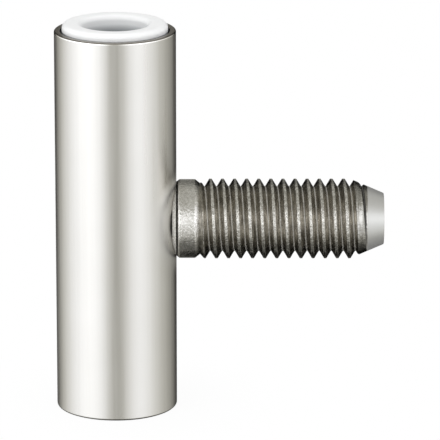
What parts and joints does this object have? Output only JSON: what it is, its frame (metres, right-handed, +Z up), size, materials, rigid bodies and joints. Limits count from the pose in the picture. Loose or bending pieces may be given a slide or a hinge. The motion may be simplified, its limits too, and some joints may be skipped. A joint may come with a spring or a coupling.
{
  "type": "door hinge frame part",
  "caption": "Frame half of a turned barrel hinge: a plain steel barrel with a white bush for the door half's pin and a threaded stud at mid height.",
  "frame": {"origin": "centre of the barrel's flat bottom face", "axes": "+Z up the barrel's axis, out of the bush's mouth; +X along the threaded stud, away from the barrel"},
  "size_m": [0.0407, 0.015, 0.0489],
  "materials": {
    "satin_nickel": "satin nickel, turned",
    "white_plastic": "smooth moulded",
    "stud_steel": "plated, rough on the thread"
  },
  "bodies": {
    "root": {"barrel": "satin_nickel", "bearing_bush": "white_plastic", "threaded_stud": "stud_steel"}
  },
  "joints": []
}
